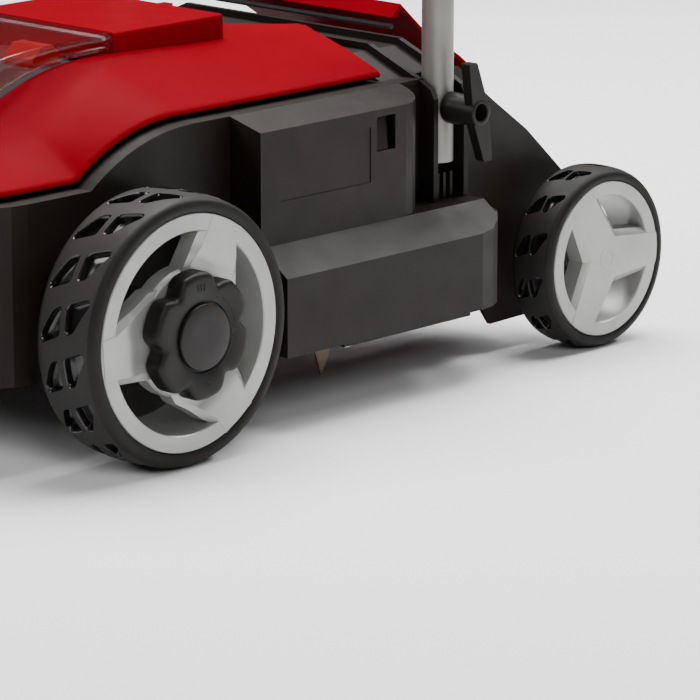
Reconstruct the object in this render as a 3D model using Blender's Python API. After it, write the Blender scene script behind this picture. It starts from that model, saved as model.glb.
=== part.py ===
"""Walk-behind cordless lawn scarifier, modelled as an assembly of separate pieces.

Metres, +Z up, the machine drives towards -Y and its left side is +X. Lengths along Y are
given from the front axle; the empty "machine" moves the whole so that its box is centred on Y = 0.
"""

from math import atan2, cos, pi, radians, sin, sqrt

import bmesh
import bpy
from mathutils import Matrix, Vector

for leftover in list(bpy.data.objects):
    bpy.data.objects.remove(leftover, do_unlink=True)

# ---- driving dimensions ----------------------------------------------------------------
FRONT_AXLE_Y = -0.36185          # the front axle in the part's own frame
GAP = 0.0004                     # clearance between pieces that touch

FRONT_HUB_Z, FRONT_TYRE_R = 0.100, 0.100
FRONT_TYRE_IN, FRONT_TYRE_OUT = 0.190, 0.248
FRONT_RIM_R, FRONT_RIM_BORE = 0.0877, 0.0745
REAR_AXLE_Y, REAR_HUB_Z, REAR_TYRE_R = 0.482, 0.0727, 0.0727
REAR_TYRE_IN, REAR_TYRE_OUT = 0.188, 0.228
REAR_RIM_R, REAR_RIM_BORE = 0.0626, 0.051
CRANK_OFFSET = 0.0105            # the wheel axle sits this far below the crank's pivot
CRANK_LEAN = 0.0008              # and this far behind it, so that the load holds it on its stop
SPINDLE_R = 0.008
KNOB_BACK_X, LOBE_ANGLE = 0.2454, 37

WALL_X, WALL = 0.173, 0.0035     # deck side wall, and the deck's wall thickness
BOX_X, SKIRT_X = 0.205, 0.232    # belt box and lower skirt, outer faces
BOX_FRONT_Y, BOX_REAR_Y, SKIRT_BOTTOM_Z = 0.115, 0.272, 0.058
LEDGE_IN_Z, LEDGE_OUT_Z = 0.137, 0.118
NOSE_Y, HOOD_X, LOW_EDGE_Z = -0.150, 0.158, 0.197
ARCH_Y, ARCH_Z, ARCH_R = 0.077, 0.064, 0.168
ARCH_STEPS = (-0.0255, -0.018, -0.010, 0.0, 0.011, 0.023, 0.036, 0.049, 0.063, 0.077)
DECK_CORNER_R, FLANGE = 0.055, 0.004
HOOD_REAR_Y = 0.293
FRONT_RIB_Y, REAR_RIB_Y, RIB = 0.3205, 0.3550, 0.005
RIB_X = 0.189

ROLLER_Y, ROLLER_Z, TINE_R, TUNNEL_R = 0.235, 0.085, 0.074, 0.083
BLADES, BLADE_PITCH = 18, 0.0182
MOTOR_Y, MOTOR_Z, MOTOR_R = 0.135, 0.190, 0.036
MOTOR_PULLEY_R, ROLLER_PULLEY_R = 0.012, 0.0264
BELT_X, BELT_WIDTH = 0.190, 0.010

TUBE_X, TUBE_Y, TUBE_R, TUBE_BORE = 0.1747, 0.340, 0.0125, 0.0108
TUBE_FOOT_Z, NUT_Z = 0.166, 0.2095
BEND_Z, LEAN = 0.330, radians(38)
FOLD_Z, GRIP_Z = 0.640, 1.020
PACK_WIDTH, LID_X = 0.072, 0.078

RED, BLACK, GREY = (0.38, 0.004, 0.010), (0.020, 0.018, 0.017), (0.40, 0.40, 0.38)
DARK, STEEL = (0.035, 0.033, 0.031), (0.55, 0.55, 0.55)

# ---- small helpers -----------------------------------------------------------------------
machine = bpy.data.objects.new("machine", None)
bpy.context.collection.objects.link(machine)
machine.location.y = FRONT_AXLE_Y


def material(name, colour, roughness=0.5, metallic=0.0):
    """A Principled material of one colour."""
    made = bpy.data.materials.new(name)
    made.use_nodes = True
    shader = made.node_tree.nodes["Principled BSDF"]
    shader.inputs["Base Color"].default_value = (*colour, 1)
    shader.inputs["Roughness"].default_value = roughness
    shader.inputs["Metallic"].default_value = metallic
    return made


def joint(name, x, y, z):
    """An empty on a joint's axis."""
    empty = bpy.data.objects.new(name, None)
    bpy.context.collection.objects.link(empty)
    empty.parent = machine
    empty.location = (x, y, z)
    return empty


def place(name, bm, look, parent=None, guide=False):
    """Turns a bmesh given in machine lengths into a named object under its joint."""
    bmesh.ops.recalc_face_normals(bm, faces=bm.faces)
    origin = Vector(parent.location) if parent else Vector()
    bmesh.ops.translate(bm, verts=bm.verts, vec=-origin)
    mesh = bpy.data.meshes.new(name)
    bm.to_mesh(mesh)
    bm.free()
    mesh.shade_smooth()
    mesh.set_sharp_from_angle(angle=radians(35))
    made = bpy.data.objects.new(name, mesh)
    bpy.context.collection.objects.link(made)
    made.parent = parent or machine
    if guide:
        made.hide_render = True
        made.display_type = "WIRE"
    else:
        mesh.materials.append(material(name, *look))
    return made


def boolean(target, tool, operation):
    """Joins or cuts target with a guide object."""
    step = target.modifiers.new(tool.name, "BOOLEAN")
    step.object = tool
    step.operation = operation


def cut(target, name, bm, parent=None):
    boolean(target, place(name, bm, None, parent, guide=True), "DIFFERENCE")


def add(target, name, bm, parent=None):
    boolean(target, place(name, bm, None, parent, guide=True), "UNION")


def extruded(points, vector):
    """A closed prism from a flat outline of 3-D points."""
    bm = bmesh.new()
    face = bm.faces.new([bm.verts.new(p) for p in points])
    swept = bmesh.ops.extrude_face_region(bm, geom=[face])
    moved = [v for v in swept["geom"] if isinstance(v, bmesh.types.BMVert)]
    bmesh.ops.translate(bm, verts=moved, vec=vector)
    return bm


def prism_x(outline, x0, x1):
    return extruded([(x0, y, z) for y, z in outline], (x1 - x0, 0, 0))


def prism_y(outline, y0, y1):
    return extruded([(x, y0, z) for x, z in outline], (0, y1 - y0, 0))


def prism_z(outline, z0, z1):
    return extruded([(x, y, z0) for x, y in outline], (0, 0, z1 - z0))


def block(x0, x1, y0, y1, z0, z1):
    return prism_z([(x0, y0), (x1, y0), (x1, y1), (x0, y1)], z0, z1)


def arc(cx, cy, radius, start, end, steps):
    """Points of an arc, angles in degrees."""
    angles = [radians(start + (end - start) * k / steps) for k in range(steps + 1)]
    return [(cx + radius * cos(a), cy + radius * sin(a)) for a in angles]


def turned(profile, y, z, steps=24, closed=False):
    """A solid of revolution about a line along X. The profile is (x, radius) points."""
    bm = bmesh.new()
    rings = []
    for x, r in profile:
        angles = [2 * pi * k / steps for k in range(steps)]
        rings.append([bm.verts.new((x, y + r * cos(a), z + r * sin(a))) for a in angles])
    pairs = list(zip(rings, rings[1:]))
    if closed:
        pairs.append((rings[-1], rings[0]))
    else:
        bm.faces.new(rings[0])
        bm.faces.new(rings[-1])
    for first, second in pairs:
        for k in range(steps):
            j = (k + 1) % steps
            bm.faces.new((first[k], first[j], second[j], second[k]))
    return bm


def disc(x0, x1, r, y, z, steps=24):
    return turned([(x0, r), (x1, r)], y, z, steps)


def sleeve(x0, x1, outer, bore, y, z, steps=24):
    return turned([(x0, outer), (x1, outer), (x1, bore), (x0, bore)], y, z, steps, closed=True)


def sweep(path, radius, sides=12, bore=None):
    """A rod, or with a bore a tube open at both ends, along a path."""
    bm = bmesh.new()
    points = [Vector(p) for p in path]
    up = Vector((0, 0, 1)) if abs((points[1] - points[0]).normalized().z) < 0.9 else Vector((0, 1, 0))
    loops = {"out": [], "in": []}
    for k, point in enumerate(points):
        ahead = (points[min(k + 1, len(points) - 1)] - points[max(k - 1, 0)]).normalized()
        side = ahead.cross(up).normalized()
        up = side.cross(ahead).normalized()
        for key, r in (("out", radius), ("in", bore)):
            if r:
                ring = [side * cos(2 * pi * j / sides) + up * sin(2 * pi * j / sides) for j in range(sides)]
                loops[key].append([bm.verts.new(point + r * d) for d in ring])
    for rings in loops.values():
        for first, second in zip(rings, rings[1:]):
            for k in range(sides):
                j = (k + 1) % sides
                bm.faces.new((first[k], first[j], second[j], second[k]))
    for end in (0, -1):
        if bore:
            for k in range(sides):
                j = (k + 1) % sides
                outer, inner = loops["out"][end], loops["in"][end]
                bm.faces.new((outer[k], outer[j], inner[j], inner[k]))
        else:
            bm.faces.new(loops["out"][end])
    return bm


def mirrored(points):
    """An outline on the +X side, closed by its mirror image."""
    return points + [(-x, z) for x, z in reversed(points)]


# ---- deck --------------------------------------------------------------------------------
def arch_z(y):
    """Height of the deck's upper edge, which the hood sits on."""
    foot = ARCH_Y - sqrt(ARCH_R**2 - (LOW_EDGE_Z - ARCH_Z) ** 2)
    if y <= foot:
        return LOW_EDGE_Z
    return ARCH_Z + sqrt(ARCH_R**2 - (min(y, ARCH_Y) - ARCH_Y) ** 2)


def deck_outline():
    """Side view of the deck's middle: nose, arch, rear slope and rear skid."""
    arch = [(y, arch_z(y)) for y in ARCH_STEPS]
    rear = [(0.366, 0.236), (0.404, 0.206), (0.447, 0.175), (0.493, 0.133), (0.507, 0.105)]
    skid = [(0.507, 0.060), (0.490, 0.035), (0.453, 0.0245), (0.405, 0.0235), (0.380, SKIRT_BOTTOM_Z)]
    nose = [(-0.118, 0.066), (-0.142, 0.085), (-0.142, LOW_EDGE_Z)]
    return nose + arch + [(0.318, 0.232)] + rear + skid


def rounded_plan(inset):
    """Plan of the deck's middle with its rounded front corners, shrunk by inset."""
    x, y, r = WALL_X - inset, -0.142 + inset, DECK_CORNER_R - inset
    corners = arc(x - r, y + r, r, 0, -90, 6) + arc(-x + r, y + r, r, -90, -180, 6)
    return [(x, 0.60)] + corners + [(-x, 0.60)]


def limited(name, bm, inset):
    """A guide solid trimmed to the deck's rounded plan."""
    guide = place(name, bm, None, guide=True)
    plan = place(f"{name}_plan", prism_z(rounded_plan(inset), -0.1, 0.5), None, guide=True)
    boolean(guide, plan, "INTERSECT")
    return guide


def make_deck():
    deck = place("deck", prism_x(deck_outline(), -WALL_X, WALL_X), (BLACK, 0.6))
    plan = place("deck_plan", prism_z(rounded_plan(0.0), -0.1, 0.5), None, guide=True)
    boolean(deck, plan, "INTERSECT")
    for side in (1, -1):
        tag = "left" if side > 0 else "right"
        box = [(0.165, 0.120), (BOX_X, 0.120), (BOX_X, 0.2235), (WALL_X, ARCH_Z + ARCH_R),
               (0.165, ARCH_Z + ARCH_R)]
        end = arc(BOX_X - 0.026, BOX_REAR_Y, 0.026, 0, 80, 4)
        box_plan = [(0.150, 0.10), (0.210, 0.10), (0.210, BOX_REAR_Y - 0.001), (BOX_X, BOX_REAR_Y)] + end[1:]
        box_plan += [(0.150, BOX_REAR_Y + 0.027)]
        body = place(f"box_{tag}", prism_y([(side * x, z) for x, z in box], BOX_FRONT_Y, 0.31),
                     None, guide=True)
        ends = prism_z([(side * x, y) for x, y in box_plan], 0.0, 0.4)
        boolean(body, place(f"box_plan_{tag}", ends, None, guide=True), "INTERSECT")
        boolean(deck, body, "UNION")
        corner = arc(0.187, 0.330, SKIRT_X - 0.187, 0, 90, 5)
        plan = [(0.165, BOX_FRONT_Y), (SKIRT_X, BOX_FRONT_Y)] + corner + [(0.165, 0.378)]
        skirt = prism_z([(side * x, y) for x, y in plan], SKIRT_BOTTOM_Z, LEDGE_IN_Z)
        add(deck, f"skirt_{tag}", skirt)
        slope = (LEDGE_IN_Z - LEDGE_OUT_Z) / (SKIRT_X - BOX_X)
        wedge = [(0.2052, LEDGE_IN_Z), (0.2052, 0.15), (0.25, 0.15), (0.25, LEDGE_IN_Z - slope * 0.045)]
        cut(deck, f"ledge_{tag}", prism_y([(side * x, z) for x, z in wedge], 0.10, 0.40))
        cut(deck, f"ledge_rear_{tag}", block(*sorted((side * 0.1734, side * 0.25)),
                                             0.3605, 0.40, 0.1285, 0.16))
        cut(deck, f"box_void_{tag}", block(*sorted((side * 0.16, side * (BOX_X - WALL))),
                                           BOX_FRONT_Y + WALL, BOX_REAR_Y - 0.002, 0.100, 0.2205))
        cut(deck, f"skirt_void_{tag}", block(*sorted((side * 0.1765, side * (SKIRT_X - WALL))),
                                             BOX_FRONT_Y + WALL, 0.330, 0.05, 0.1145))
        cut(deck, f"channel_{tag}", block(*sorted((side * 0.159, side * 0.25)),
                                          FRONT_RIB_Y + RIB, REAR_RIB_Y, 0.1605, 0.30))
    upper = [(-0.1385, 0.090)]
    tunnel = arc(ROLLER_Y, ROLLER_Z, TUNNEL_R + WALL, 175, 75, 8)
    rim = [(y, arch_z(y) - FLANGE) for y in (0.313,) + ARCH_STEPS[::-1] + (-0.1385,)]
    upper += [(0.130, 0.090)] + tunnel + [(0.3135, 0.1800)] + rim
    boolean(deck, limited("upper_void", prism_x(upper, -WALL_X, WALL_X), WALL), "DIFFERENCE")
    mouth = arc(0.110, -0.088, 0.040, 0, -90, 4) + arc(-0.110, -0.088, 0.040, -90, -180, 4)
    mouth = [(0.150, 0.288)] + mouth + [(-0.150, 0.288)]
    cut(deck, "hood_mouth", prism_z(mouth, 0.188, 0.30))
    rear_room = [(0.310, 0.1785), (0.340, 0.1930), (0.349, 0.1970), (0.362, 0.2075), (0.362, 0.30),
                 (0.310, 0.30)]
    cut(deck, "rear_void", prism_x(rear_room, -0.155, 0.155))
    lower = [(0.152, 0.02), (0.152, ROLLER_Z)] + arc(ROLLER_Y, ROLLER_Z, TUNNEL_R, 175, 60, 9)
    lower += [(0.340, 0.1885), (0.349, 0.1925), (0.376, 0.2110), (0.404, 0.196), (0.445, 0.166),
              (0.488, 0.127)]
    lower += [(0.5035, 0.10), (0.5035, 0.02)]
    cut(deck, "tunnel_void", prism_x(lower, -WALL_X + WALL, WALL_X - WALL))
    under = [(-0.15, 0.02), (-0.15, 0.0865), (0.148, 0.0865), (0.148, 0.02)]
    boolean(deck, limited("front_void", prism_x(under, -WALL_X, WALL_X), WALL), "DIFFERENCE")
    cut(deck, "chute_mouth", block(-0.102, 0.102, 0.374, 0.53, 0.02, 0.30))
    for side in (1, -1):
        tag = "left" if side > 0 else "right"
        for name, y, z, r, x0, x1 in (
            ("crank_boss", -CRANK_LEAN, FRONT_HUB_Z + CRANK_OFFSET, 0.016, 0.150, 0.1755),
            ("axle_boss", REAR_AXLE_Y, REAR_HUB_Z, 0.014, 0.152, 0.186),
        ):
            add(deck, f"{name}_{tag}", disc(*sorted((side * x0, side * x1)), r, y, z, 16))
            cut(deck, f"{name}_bore_{tag}", disc(*sorted((side * (x0 - 0.01), side * (x1 + 0.01))),
                                                 SPINDLE_R + 0.0003, y, z, 16))
        for name, y in (("front_rib", FRONT_RIB_Y), ("rear_rib", REAR_RIB_Y)):
            fin = [(0.1575, 0.116), (RIB_X, 0.116), (RIB_X, 0.218), (0.185, 0.2255), (0.171, 0.2325),
                   (0.118, 0.2535), (0.118, 0.235), (0.1575, 0.222)]
            add(deck, f"{name}_{tag}", prism_y([(side * x, z) for x, z in fin], y, y + RIB))
        for k in range(3):
            y = 0.3295 + 0.0075 * k
            add(deck, f"small_rib_{k}_{tag}", block(*sorted((side * 0.155, side * 0.184)), y, y + 0.003,
                                                    0.120, 0.158))
    bridge = [(0.1735, 0.2255), (0.118, 0.2480), (-0.118, 0.2480), (-0.1735, 0.2255)]
    bridge += [(-0.1735, 0.2205), (-0.118, 0.2435), (0.118, 0.2435), (0.1735, 0.2205)]
    add(deck, "bridge", prism_y(bridge, HOOD_REAR_Y + GAP, 0.3665))
    for side, tag in ((1, "left"), (-1, "right")):
        opening = block(*sorted((side * 0.159, side * 0.25)), FRONT_RIB_Y + RIB, REAR_RIB_Y, 0.1605, 0.30)
        cut(deck, f"channel_mouth_{tag}", opening)
    for name, y in (("front_bar", FRONT_RIB_Y), ("rear_bar", REAR_RIB_Y)):
        add(deck, name, block(-0.119, 0.119, y, y + RIB, 0.240, 0.2535))
    wedge = [(0.074, 0.3025), (0.036, 0.2525), (-0.036, 0.2525), (-0.074, 0.3025)]
    add(deck, "grip_recess", prism_z(wedge, 0.2445, 0.2585))
    for side in (1, -1):
        bore = disc(*sorted((side * 0.14, side * 0.175)), 0.0044, TUBE_Y, NUT_Z, 12)
        cut(deck, f"bolt_hole_{side + 1}", bore)
        shaft = disc(*sorted((side * 0.16, side * 0.1825)), 0.0114, ROLLER_Y, ROLLER_Z, 20)
        cut(deck, f"bearing_seat_{side + 1}", shaft)
    cut(deck, "motor_shaft_hole", disc(0.16, 0.18, 0.009, MOTOR_Y, MOTOR_Z, 16))
    return deck


# ---- hood, lid and batteries ----------------------------------------------------------------
HOOD_STATIONS = (
    # y, half width, crease x, crease z, inner z
    (NOSE_Y, 0.100, 0.080, 0.2015, 0.2045),
    (-0.140, 0.124, 0.098, 0.2045, 0.2085),
    (-0.120, 0.145, 0.116, 0.2085, 0.2155),
    (-0.080, HOOD_X, 0.124, 0.2170, 0.2300),
    (-0.040, HOOD_X, 0.116, 0.2300, 0.2490),
    (-0.012, HOOD_X, 0.107, 0.2420, 0.2600),
    (0.020, HOOD_X, 0.097, 0.2545, 0.2680),
    (0.050, HOOD_X, 0.090, 0.2625, 0.2705),
    (0.090, HOOD_X, 0.087, 0.2655, 0.2710),
    (0.180, HOOD_X, 0.087, 0.2650, 0.2670),
    (HOOD_REAR_Y, HOOD_X, 0.086, 0.2650, 0.2665),
)
HOOD_SKIN = 0.003
LID_Y0, LID_TOP, LID_SKIN = -0.068, 0.2885, 0.0025
LID_PIVOT_Y, LID_PIVOT_Z, LID_END_R = 0.0815, 0.2825, 0.006
BLOCK_Y0, BLOCK_Y1, BLOCK_TOP = 0.0880, 0.204, 0.2865


def hood_row(y, half, crease_x, crease_z, inner_z):
    """Points across the hood at one station, from the left low edge to the right one."""
    low = (half, y, arch_z(y) + 0.0034)
    half_row = [low, (half - 0.003, y, low[2] + 0.004), (crease_x, y, crease_z), (0.079, y, inner_z)]
    centre = [(0.0, y, inner_z + 0.001)]
    return half_row + centre + [(-x, y, z) for x, y, z in reversed(half_row)]


def make_hood():
    bm = bmesh.new()
    rows = [[bm.verts.new(p) for p in hood_row(*station)] for station in HOOD_STATIONS]
    for first, second in zip(rows, rows[1:]):
        for k in range(len(first) - 1):
            bm.faces.new((first[k], first[k + 1], second[k + 1], second[k]))
    hood = place("hood", bm, (RED, 0.35))
    for polygon in hood.data.polygons:
        if polygon.normal.z < 0:
            hood.data.flip_normals()
            break
    skin = hood.modifiers.new("skin", "SOLIDIFY")
    skin.thickness = HOOD_SKIN
    skin.offset = -1
    raised = [(0.0775, 0.2600), (0.0775, 0.2845), (0.0755, BLOCK_TOP)]
    add(hood, "raised_block", prism_y(mirrored(raised), BLOCK_Y0, BLOCK_Y1))
    cut(hood, "block_void", block(-0.0745, 0.0745, BLOCK_Y0 + 0.003, BLOCK_Y1 - 0.003, 0.24,
                                  BLOCK_TOP - 0.003))
    cut(hood, "bay_mouth", block(-0.0745, 0.0745, -0.060, BLOCK_Y0 - 0.001, 0.17, 0.30))
    notch = [(0.0775, 0.31), (0.0775, 0.3045), (0.038, 0.2505), (-0.038, 0.2505), (-0.0775, 0.3045),
             (-0.0775, 0.31)]
    cut(hood, "grip_notch", prism_z(notch, 0.22, 0.30))
    return hood


def make_bay():
    bay = place("battery_bay", block(-0.0738, 0.0738, -0.0580, 0.084, 0.165, 0.2455), (BLACK, 0.6))
    cut(bay, "bay_void", block(-0.0762 + 0.0044, 0.0718, -0.0560, 0.082, 0.167, 0.30))
    cut(bay, "bay_front_slope", prism_x([(-0.07, 0.225), (0.0, 0.2445), (0.0, 0.30),
                                         (-0.07, 0.30)], -0.09, 0.09))
    return bay


def make_batteries():
    for side, tag in ((1, "left"), (-1, "right")):
        x0, x1 = sorted((side * 0.0008, side * (PACK_WIDTH - 0.0008)))
        profile = [(-0.054, 0.1675), (0.080, 0.1675), (0.080, 0.255), (0.070, 0.264), (0.020, 0.264),
                   (-0.054, 0.222)]
        pack = place(f"battery_{tag}", prism_x(profile, x0, x1), (DARK, 0.5))
        middle = side * 0.036
        seat = block(middle - 0.0165, middle + 0.0165, 0.030, 0.060, 0.255, 0.30)
        cut(pack, f"latch_seat_{tag}", seat)
        pivot = joint(f"battery_latch_{tag}_slide", middle, 0.045, 0.262)
        latch = [(0.0305, 0.2565), (0.0560, 0.2565), (0.0560, 0.274), (0.050, 0.279), (0.040, 0.279),
                 (0.0305, 0.270)]
        place(f"battery_latch_{tag}", prism_x(latch, middle - 0.016, middle + 0.016), (RED, 0.4), pivot)


def lid_outline(inset):
    """Side view of the clear lid; the void's copy is shrunk by the skin and runs out at the rear."""
    top = [(0.030, 0.2870), (-0.012, 0.2842), (-0.045, 0.2795), (-0.064, 0.2700)]
    base = [(LID_Y0, 0.2395), (-0.040, 0.2515), (-0.012, 0.2628), (0.020, 0.2705), (0.050, 0.2730)]
    if inset:
        top = [(0.120, LID_TOP - inset), (LID_PIVOT_Y, LID_TOP - inset)] + [(y, z - inset) for y, z in top]
        base = [(y + inset, z - 0.03) for y, z in base[:1]] + [(y, z - 0.03) for y, z in base[1:]]
        return top[:-1] + [(top[-1][0] + inset, top[-1][1])] + base + [(0.120, 0.2435)]
    rounded = ((-90, 0.0090), (-60, 0.0085), (-30, 0.0066), (0, LID_END_R), (30, LID_END_R), (60, LID_END_R),
               (90, LID_END_R))
    end = [(LID_PIVOT_Y + r * cos(radians(a)), LID_PIVOT_Z + r * sin(radians(a))) for a, r in rounded]
    return top + base + end


def make_lid():
    pivot = joint("lid_hinge", 0.0, LID_PIVOT_Y, LID_PIVOT_Z)
    lid = place("battery_lid", prism_x(lid_outline(0.0), -LID_X, LID_X), ((0.25, 0.2, 0.2), 0.1), pivot)
    cut(lid, "lid_void", prism_x(lid_outline(LID_SKIN), -LID_X + LID_SKIN, LID_X - LID_SKIN))
    place("lid_pin", disc(-0.0745, 0.0745, 0.0018, LID_PIVOT_Y, LID_PIVOT_Z, 8), (STEEL, 0.3, 1.0))


# ---- drive ---------------------------------------------------------------------------------
def blade_outline(turn):
    """A tine blade: a hub with two hooked, pointed tines."""
    points = []
    for half in (0, 180):
        for angle, radius in ((0, 0.0165), (32, 0.0175), (62, 0.030), (76, 0.052), (87, TINE_R), (93, 0.062),
                              (108, 0.036), (134, 0.0195), (160, 0.0165)):
            a = radians(angle + half + turn)
            points.append((ROLLER_Y + radius * cos(a), ROLLER_Z + radius * sin(a)))
    return points


def make_drive():
    roller = joint("roller_spin", 0.0, ROLLER_Y, ROLLER_Z)
    motor = joint("motor_spin", 0.0, MOTOR_Y, MOTOR_Z)
    steel = (STEEL, 0.35, 1.0)
    place("roller_shaft", turned([(-0.1805, 0.005), (-0.168, 0.005), (-0.168, 0.008), (0.168, 0.008),
                                  (0.168, 0.005),
                                  (0.2015, 0.005)], ROLLER_Y, ROLLER_Z, 16), steel, roller)
    blades = place("blade_set", sleeve(-0.166, 0.166, 0.013, 0.0084, ROLLER_Y, ROLLER_Z, 12), steel, roller)
    for k in range(BLADES):
        x = (k - (BLADES - 1) / 2) * BLADE_PITCH
        plate = prism_x(blade_outline(29 + 30 * k), x - 0.0008, x + 0.0008)
        tool = place(f"blade_{k}", plate, None, roller, guide=True)
        centre = disc(x - 0.01, x + 0.01, 0.0105, ROLLER_Y, ROLLER_Z, 10)
        cut(tool, f"blade_bore_{k}", centre, roller)
        boolean(blades, tool, "UNION")
    for side, tag in ((1, "left"), (-1, "right")):
        x0, x1 = sorted((side * 0.1695, side * 0.1765))
        place(f"roller_bearing_{tag}", sleeve(x0, x1, 0.0111, 0.0053, ROLLER_Y, ROLLER_Z, 20), steel)
    for name, y, z, r, bore, parent in (
        ("roller_pulley", ROLLER_Y, ROLLER_Z, ROLLER_PULLEY_R, 0.0053, roller),
        ("motor_pulley", MOTOR_Y, MOTOR_Z, MOTOR_PULLEY_R, 0.0043, motor),
    ):
        x0, x1 = BELT_X - BELT_WIDTH / 2 - 0.0005, BELT_X + BELT_WIDTH / 2 + 0.0005
        flanges = [(x0 - 0.0015, r + 0.002), (x0, r + 0.002), (x0, r), (x1, r), (x1, r + 0.002),
                   (x1 + 0.0015, r + 0.002), (x1 + 0.0015, bore), (x0 - 0.0015, bore)]
        place(name, turned(flanges, y, z, 24, closed=True), (DARK, 0.4), parent)
    case = place("motor_housing", turned([(0.060, 0.030), (0.066, MOTOR_R), (0.138, MOTOR_R), (0.146, 0.022)],
                                         MOTOR_Y, MOTOR_Z, 20), (DARK, 0.4))
    cut(case, "motor_void", disc(0.0665, 0.1375, MOTOR_R - 0.004, MOTOR_Y, MOTOR_Z, 20))
    cut(case, "motor_bore", disc(0.130, 0.150, 0.0050, MOTOR_Y, MOTOR_Z, 12))
    place("motor_shaft", disc(0.0675, 0.1985, 0.004, MOTOR_Y, MOTOR_Z, 12), steel, motor)
    place("motor_core", sleeve(0.0700, 0.1340, MOTOR_R - 0.0055, 0.0043, MOTOR_Y, MOTOR_Z, 20), steel, motor)
    make_belt()


def make_belt():
    """A flat loop round both pulleys, tangent on each side."""
    span = Vector((ROLLER_Y - MOTOR_Y, ROLLER_Z - MOTOR_Z))
    lean = atan2(span.y, span.x)
    open_angle = pi / 2 + (ROLLER_PULLEY_R - MOTOR_PULLEY_R) / span.length
    outlines = []
    for extra in (0.0022, 0.0004):
        points = []
        for cy, cz, r, start, end in (
            (ROLLER_Y, ROLLER_Z, ROLLER_PULLEY_R, lean - open_angle, lean + open_angle),
            (MOTOR_Y, MOTOR_Z, MOTOR_PULLEY_R, lean + open_angle, lean + 2 * pi - open_angle),
        ):
            for k in range(11):
                a = start + (end - start) * k / 10
                points.append((cy + (r + extra) * cos(a), cz + (r + extra) * sin(a)))
        outlines.append(points)
    x0, x1 = BELT_X - BELT_WIDTH / 2, BELT_X + BELT_WIDTH / 2
    belt = place("drive_belt", prism_x(outlines[0], x0, x1), (DARK, 0.7))
    cut(belt, "belt_void", prism_x(outlines[1], x0 - 0.01, x1 + 0.01))


def make_inner_parts():
    cover = block(0.1775, SKIRT_X - 0.009, 0.185, 0.326, 0.0525, 0.0550)
    place("belt_cover", cover, (BLACK, 0.6))
    for k, y in enumerate((0.195, 0.312)):
        place(f"belt_cover_screw_{k + 1}", block(0.208, 0.214, y, y + 0.006, 0.0490, 0.0522),
              (STEEL, 0.3, 1.0))
    place("control_board", block(-0.120, -0.030, 0.105, 0.145, 0.195, 0.1966), ((0.02, 0.12, 0.05), 0.5))
    for tag, x in (("left", 0.135), ("right", -0.135)):
        post = turned([(0.0905, 0.006), (0.185, 0.005)], 0, 0, 12)
        bmesh.ops.rotate(post, verts=post.verts, matrix=Matrix.Rotation(-pi / 2, 3, "Y"))
        bmesh.ops.translate(post, verts=post.verts, vec=(x, -0.075, 0))
        place(f"hood_post_{tag}", post, (BLACK, 0.6))


# ---- wheels --------------------------------------------------------------------------------
def make_wheel(name, side, parent, y, z, size):
    """A tyre on a three-spoke rim. size holds the x span, radii, spoke width and spoke angle."""
    x_in, x_out, tyre_r, rim_r, rim_bore, spoke, angle = size
    shoulder = tyre_r - 0.004
    section = [(x_in, rim_r + 0.001), (x_in, shoulder), (x_in + 0.004, tyre_r), (x_out - 0.004, tyre_r),
               (x_out, shoulder), (x_out, rim_r + GAP), (x_in + 0.003, rim_r + GAP)]
    tyre = [(side * x, r) for x, r in section]
    place(f"{name}_tyre", turned(tyre, y, z, 32, closed=True), (DARK, 0.7), parent)
    rim = place(f"{name}_rim", sleeve(*sorted((side * (x_in + 0.0035), side * x_out)),
                                      rim_r, rim_bore, y, z, 32),
                (GREY, 0.45), parent)
    hub_in, hub_out = side * (x_in + 0.001), side * (x_out - 0.002)
    add(rim, f"{name}_hub", disc(*sorted((hub_in, hub_out)), 0.017, y, z, 16), parent)
    for k in range(3):
        a = radians(angle + 120 * k)
        out, across = Vector((cos(a), sin(a))), Vector((-sin(a), cos(a)))
        mid = (rim_r + rim_bore) / 2
        corners = [out * 0.004 - across * spoke * 0.62, out * mid - across * spoke * 0.5,
                   out * mid + across * spoke * 0.5, out * 0.004 + across * spoke * 0.62]
        arm = prism_x([(y + c.x, z + c.y) for c in corners], *sorted((side * (x_out - 0.018),
                                                                      side * (x_out - 0.0005))))
        add(rim, f"{name}_spoke_{k}", arm, parent)
    bore = disc(*sorted((side * (x_in - 0.02), side * (x_out + 0.02))), SPINDLE_R + 0.0004, y, z, 16)
    cut(rim, f"{name}_bore", bore, parent)
    return rim


def make_knob(side, tag, pivot, z):
    slide = joint(f"{tag}_knob_pull", side * 0.25, 0.0, z)
    lobes = []
    for k in range(72):
        a = 2 * pi * k / 72
        hollow = ((1 - cos(6 * (a - radians(LOBE_ANGLE)))) / 2) ** 3
        radius = 0.0472 - 0.0092 * hollow
        lobes.append((radius * cos(a), z + radius * sin(a)))
    knob = place(f"{tag}_depth_knob", prism_x(lobes, *sorted((side * KNOB_BACK_X, side * 0.2612))),
                 (BLACK, 0.4), slide)
    socket = disc(*sorted((side * 0.24, side * 0.2570)), SPINDLE_R + 0.0004, 0.0, z, 16)
    cut(knob, f"{tag}_knob_socket", socket, slide)
    place(f"{tag}_knob_cap", turned([(side * x, r) for x, r in ((0.2615, 0.0245), (0.2628, 0.0240),
                                                                (0.2632, 0.0225))],
                                    0.0, z, 24), (BLACK, 0.35), slide)


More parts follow.
